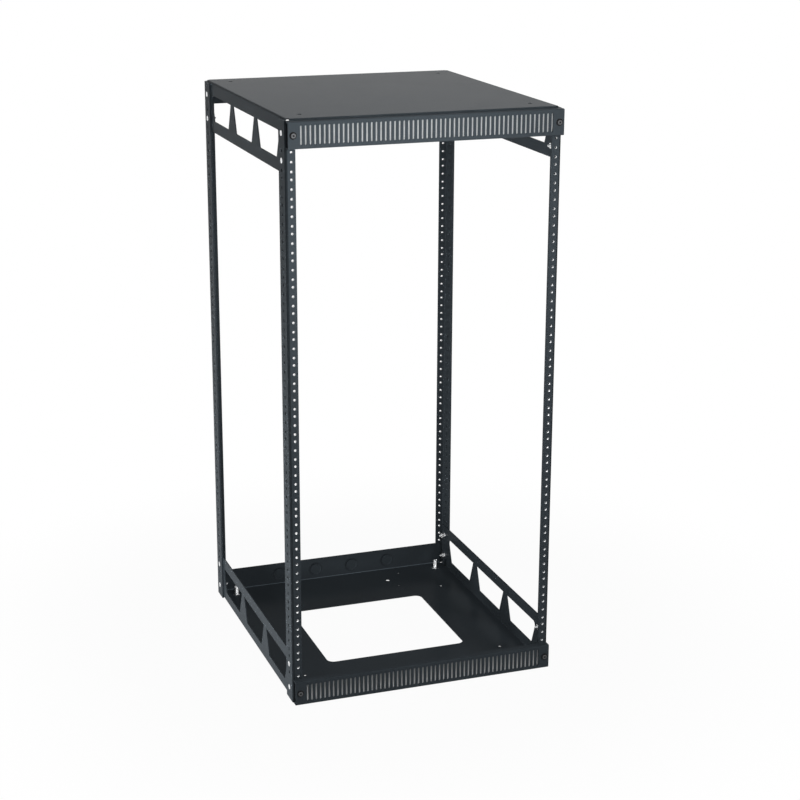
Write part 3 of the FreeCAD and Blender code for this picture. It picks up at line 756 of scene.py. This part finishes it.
class RackPanelScrews(bpy.types.Operator):
    """Makes the black socket screws and cup washers of the slotted panels"""
    bl_idname = "rack.panel_screws"
    bl_label = "Make the panel screws"

    def execute(self, context):
        settings = context.scene.rack_hardware
        panel_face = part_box("base_vent_panel")[0].y
        material = black_oxide(settings, panel_face)
        for node in ends_with("_panel_screw"):
            low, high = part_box(node)
            washer = (high.x - low.x) / 2
            screw = self.screw(settings, washer, high.y - low.y)
            face = low.y + settings.screw_rise
            place = ((low.x + high.x) / 2, face, (low.z + high.z) / 2)
            put(node + "_cut", screw.at(place, (0, -1, 0)), material, [node])
        return {"FINISHED"}

    def screw(self, settings, washer, length):
        """One screw about the panel's face: thread, shank, cup washer, round head, hexagon socket."""
        threaded, head_radius, rounding, socket_width = 0.003, 0.0044, 0.0012, 0.0032
        angle = circle_angles(settings.around)
        crest = settings.shank / 2
        root = crest - settings.thread_depth
        top = settings.screw_rise
        tip = top - length
        thread_top = tip + threaded
        tail = profile_rows([(0, tip), (root, tip)], angle)
        thread = thread_rows(tip + 0.0002, thread_top, root, crest, settings.thread_pitch, angle)
        cup = profile_rows([
            (crest, thread_top + 0.0003), (crest, 0), (washer, 0), (washer, 0.0003),
            (washer - 0.0003, 0.0007), (washer - 0.0008, 0.0009), (washer - 0.0012, 0.0008),
        ], angle)
        head = profile_rows(rounded_rim(head_radius, 0.0005, top, rounding), angle)
        socket = hexagon_radius(socket_width, angle)
        recess = profile_rows([
            (socket * 1.12, top), (socket, top - 0.00015), (socket, top - 0.0015), (0, top - 0.0018),
        ], angle)
        return lathed(*stacked(tail, thread, cup, head, recess))


class RackCasterNuts(bpy.types.Operator):
    """Makes the threaded inserts on the floor of the base pan"""
    bl_idname = "rack.caster_nuts"
    bl_label = "Make the caster inserts"

    def execute(self, context):
        settings = context.scene.rack_hardware
        material = shared_plate(settings)
        for node in ends_with("_caster_nut"):
            low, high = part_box(node)
            insert = self.insert(settings, (high.x - low.x) / 2, high.z - low.z)
            place = ((low.x + high.x) / 2, (low.y + high.y) / 2, low.z)
            put(node + "_cut", insert.at(place, (0, 0, 1)), material, [node])
        return {"FINISHED"}

    def insert(self, settings, collar, height):
        """One insert on the floor: round collar, coarse outer thread, fine inner thread."""
        barrel, bore = 0.0048, 0.0034
        angle = circle_angles(settings.around)
        base = profile_rows([
            (collar, 0), (collar, 0.0012), (collar - 0.0004, 0.0016), (barrel - 0.0003, 0.0016),
        ], angle)
        outer = thread_rows(0.0019, height - 0.0006, barrel - 0.0006, barrel, 0.0019, angle)
        mouth = profile_rows([(barrel - 0.0006, height - 0.0002), (barrel - 0.0009, height),
                              (bore + 0.0004, height)], angle)
        inner = thread_rows(height - 0.0004, 0.0004, bore + 0.0003, bore, 0.0013, angle)
        foot = profile_rows([(bore + 0.0003, 0)], angle)
        return ringed(*stacked(base, outer, mouth, inner, foot))


class RackFilterMats(bpy.types.Operator):
    """Makes the felted mats behind the slots"""
    bl_idname = "rack.filter_mats"
    bl_label = "Make the filter mats"

    def execute(self, context):
        settings = context.scene.rack_filter
        for number, node in enumerate(ends_with("_vent_filter")):
            # The base mat gets painted light at its foot and painted shade towards its head
            level = settings.base_mat_painted_light if node.startswith("base") else 1
            low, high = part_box(node)
            material = filter_felt(settings, node.replace("vent", "felt"), level, low, high)
            mat = self.mat(low, high, settings.slack, number)
            put(node + "_felt", mat, material, [node])
        return {"FINISHED"}

    def mat(self, low, high, slack, phase):
        """A soft slab: a squarish outline round X, drawn along X and drawn in at both ends.

        In the outline's plane, y = half depth * c |c|^-0.7 and z = half height * s |s|^-0.7, with c and
        s the cosine and sine. Both shrink close to the ends as the fourth root of 1 - |u|^60, with u
        from -1 to 1 along the slab, and both halves dip by slack times waves between 0 and 1.
        """
        stations, around = 160, 40
        along = np.linspace(-1, 1, stations)[:, None]
        angle = circle_angles(around)
        c, s = np.cos(angle), np.sin(angle)
        reach = np.clip(1 - np.abs(along) ** 60, 0, 1) ** 0.25
        waves = 0.5 + 0.25 * np.sin(37 * along + 3 * angle + phase) + 0.25 * np.sin(91 * along - 2 * angle)
        half = (np.array(high) - np.array(low)) / 2
        middle = (np.array(high) + np.array(low)) / 2
        deep = (half[1] - slack * waves) * np.sign(c) * np.abs(c) ** 0.3 * reach
        tall = (half[2] - slack * waves) * np.sign(s) * np.abs(s) ** 0.3 * reach
        long = half[0] * along * np.ones_like(angle)
        return capped(np.stack([long, deep, tall], axis=-1) + middle)


class RackStage(bpy.types.Operator):
    """Sets the camera, the lamps, the white room and the floor"""
    bl_idname = "rack.stage"
    bl_label = "Set the stage"

    def execute(self, context):
        settings = context.scene.rack_stage
        scene = context.scene
        scene.view_settings.view_transform = "Standard"
        self.camera(scene, settings)
        self.room(scene, settings)
        self.floor(scene, settings)
        self.lamp(scene, "front_lamp", (0, -0.8, 1.06), (0, -0.25, 0.92), 0.5, settings.front_power)
        self.lamp(scene, "post_lamp", (-0.24, -0.75, 0.85), (-0.24, -0.26, 0.85), 0.25, settings.post_power)
        self.lamp(scene, "right_lamp", (1.1, -1.4, 0.8), (0.2, -0.2, 0.3), 0.6, settings.right_power)
        self.lamp(scene, "low_lamp", (0, -1.0, 0.4), (0, -0.25, 0.08), 0.5, settings.low_power)
        self.lamp(scene, "left_lamp", (-1.2, -0.1, 0.07), (-0.2, 0, 0.05), 0.3, settings.left_power)
        self.lamp(scene, "top_lamp", (0, -0.1, 1.9), (0, 0, 1), 1.2, settings.top_power)
        return {"FINISHED"}

    def camera(self, scene, settings):
        """The photograph's viewpoint: turned by yaw and pitch, then by roll about the view."""
        camera = bpy.data.objects.new("camera", bpy.data.cameras.new("camera"))
        camera.data.lens = settings.lens
        camera.data.clip_end = 100
        facing = Euler((math.pi / 2 - settings.camera_pitch, 0, -settings.camera_yaw)).to_matrix()
        turn = facing @ Matrix.Rotation(settings.camera_roll, 3, "Z")
        camera.matrix_world = Matrix.Translation(settings.camera_place) @ turn.to_4x4()
        scene.collection.objects.link(camera)
        scene.camera = camera

    def room(self, scene, settings):
        """White to the camera and in reflections, and as light only as strong as the ambient setting."""
        world = bpy.data.worlds.new("white_room")
        world.use_nodes = True
        recipe = Recipe(world.node_tree)
        seen = self.seen(recipe)
        strength = seen + (1 - seen) * settings.ambient
        background = recipe.add("ShaderNodeBackground", {}, {"Color": (1, 1, 1, 1), "Strength": strength})
        recipe.add("ShaderNodeOutputWorld", {}, {"Surface": background}, None)
        scene.world = world

    def seen(self, recipe):
        """1 for a ray from the camera or one that a glossy or clear surface sends on, else 0."""
        kinds = ("Is Camera Ray", "Is Glossy Ray", "Is Transmission Ray")
        camera, glossy, clear = (recipe.add("ShaderNodeLightPath", {}, {}, kind) for kind in kinds)
        return recipe.maths("MAXIMUM", recipe.maths("MAXIMUM", camera, glossy), clear)

    def floor(self, scene, settings):
        """A wide pale floor just below the rack, which shows white and keeps a soft shadow."""
        reach, drop = settings.floor_size, 0.0003
        corners = [(x * reach, y * reach, -drop) for x, y in ((-1, -1), (1, -1), (1, 1), (-1, 1))]
        mesh = bpy.data.meshes.new("floor")
        mesh.from_pydata(corners, [], [(0, 1, 2, 3)])
        material = bpy.data.materials.new("pale_floor")
        material.use_nodes = True
        recipe = Recipe(material.node_tree)
        grain = recipe.noise(recipe.place(), 0.4, 3.0)
        tint = recipe.blend(grain, (0.9, 0.9, 0.9, 1), (0.92, 0.92, 0.92, 1))
        matt = recipe.add("ShaderNodeBsdfDiffuse", {}, {"Color": tint})
        glow = recipe.add("ShaderNodeEmission", {}, {"Color": (1, 1, 1, 1), "Strength": 1.0})
        spot = recipe.add("ShaderNodeTexCoord", {}, {}, "Object")
        away = recipe.add("ShaderNodeVectorMath", {"operation": "LENGTH"}, {0: spot}, "Value")
        plain = recipe.sharpened(away, settings.shadow_reach * 0.4, settings.shadow_reach)
        white = plain + (1 - plain) * (1 - settings.shadow_share)
        seen = self.seen(recipe)
        mixed = recipe.add("ShaderNodeMixShader", {}, {0: seen * white, 1: matt, 2: glow})
        recipe.add("ShaderNodeOutputMaterial", {}, {"Surface": mixed}, None)
        mesh.materials.append(material)
        floor = bpy.data.objects.new("floor", mesh)
        scene.collection.objects.link(floor)

    def lamp(self, scene, name, place, target, size, power):
        """A square soft lamp that looks at its target."""
        data = bpy.data.lights.new(name, "AREA")
        data.size = size
        data.energy = power
        lamp = bpy.data.objects.new(name, data)
        aim = (Vector(target) - Vector(place)).to_track_quat("-Z", "Y").to_matrix().to_4x4()
        lamp.matrix_world = Matrix.Translation(place) @ aim
        lamp.visible_camera = False
        scene.collection.objects.link(lamp)


class RackPanel(bpy.types.Panel):
    """Lists the steps that dress the rack"""
    bl_idname = "VIEW3D_PT_rack_looks"
    bl_label = "Rack looks"
    bl_space_type = "VIEW_3D"
    bl_region_type = "UI"
    bl_category = "Rack"

    def draw(self, context):
        for operator in OPERATORS:
            self.layout.operator(operator.bl_idname)


OPERATORS = (RackStage, RackCoat, RackRailThreads, RackSideBolts, RackSideNuts, RackPanelScrews,
             RackCasterNuts, RackFilterMats)
GROUPS = {"rack_coat": RackCoatSettings, "rack_hardware": RackHardwareSettings,
          "rack_filter": RackFilterSettings, "rack_stage": RackStageSettings}


def register():
    """Registers the classes and gives the scene its groups of settings."""
    for kind in (*GROUPS.values(), *OPERATORS, RackPanel):
        bpy.utils.register_class(kind)
    for name, group in GROUPS.items():
        setattr(bpy.types.Scene, name, PointerProperty(type=group))


def unregister():
    """Takes back what register did."""
    for name in GROUPS:
        delattr(bpy.types.Scene, name)
    for kind in reversed((*GROUPS.values(), *OPERATORS, RackPanel)):
        bpy.utils.unregister_class(kind)


def main():
    """Dresses the rack step by step."""
    register()
    bpy.ops.rack.stage()
    bpy.ops.rack.coat()
    bpy.ops.rack.rail_threads()
    bpy.ops.rack.side_bolts()
    bpy.ops.rack.side_nuts()
    bpy.ops.rack.panel_screws()
    bpy.ops.rack.caster_nuts()
    bpy.ops.rack.filter_mats()


if __name__ == "__main__":
    main()
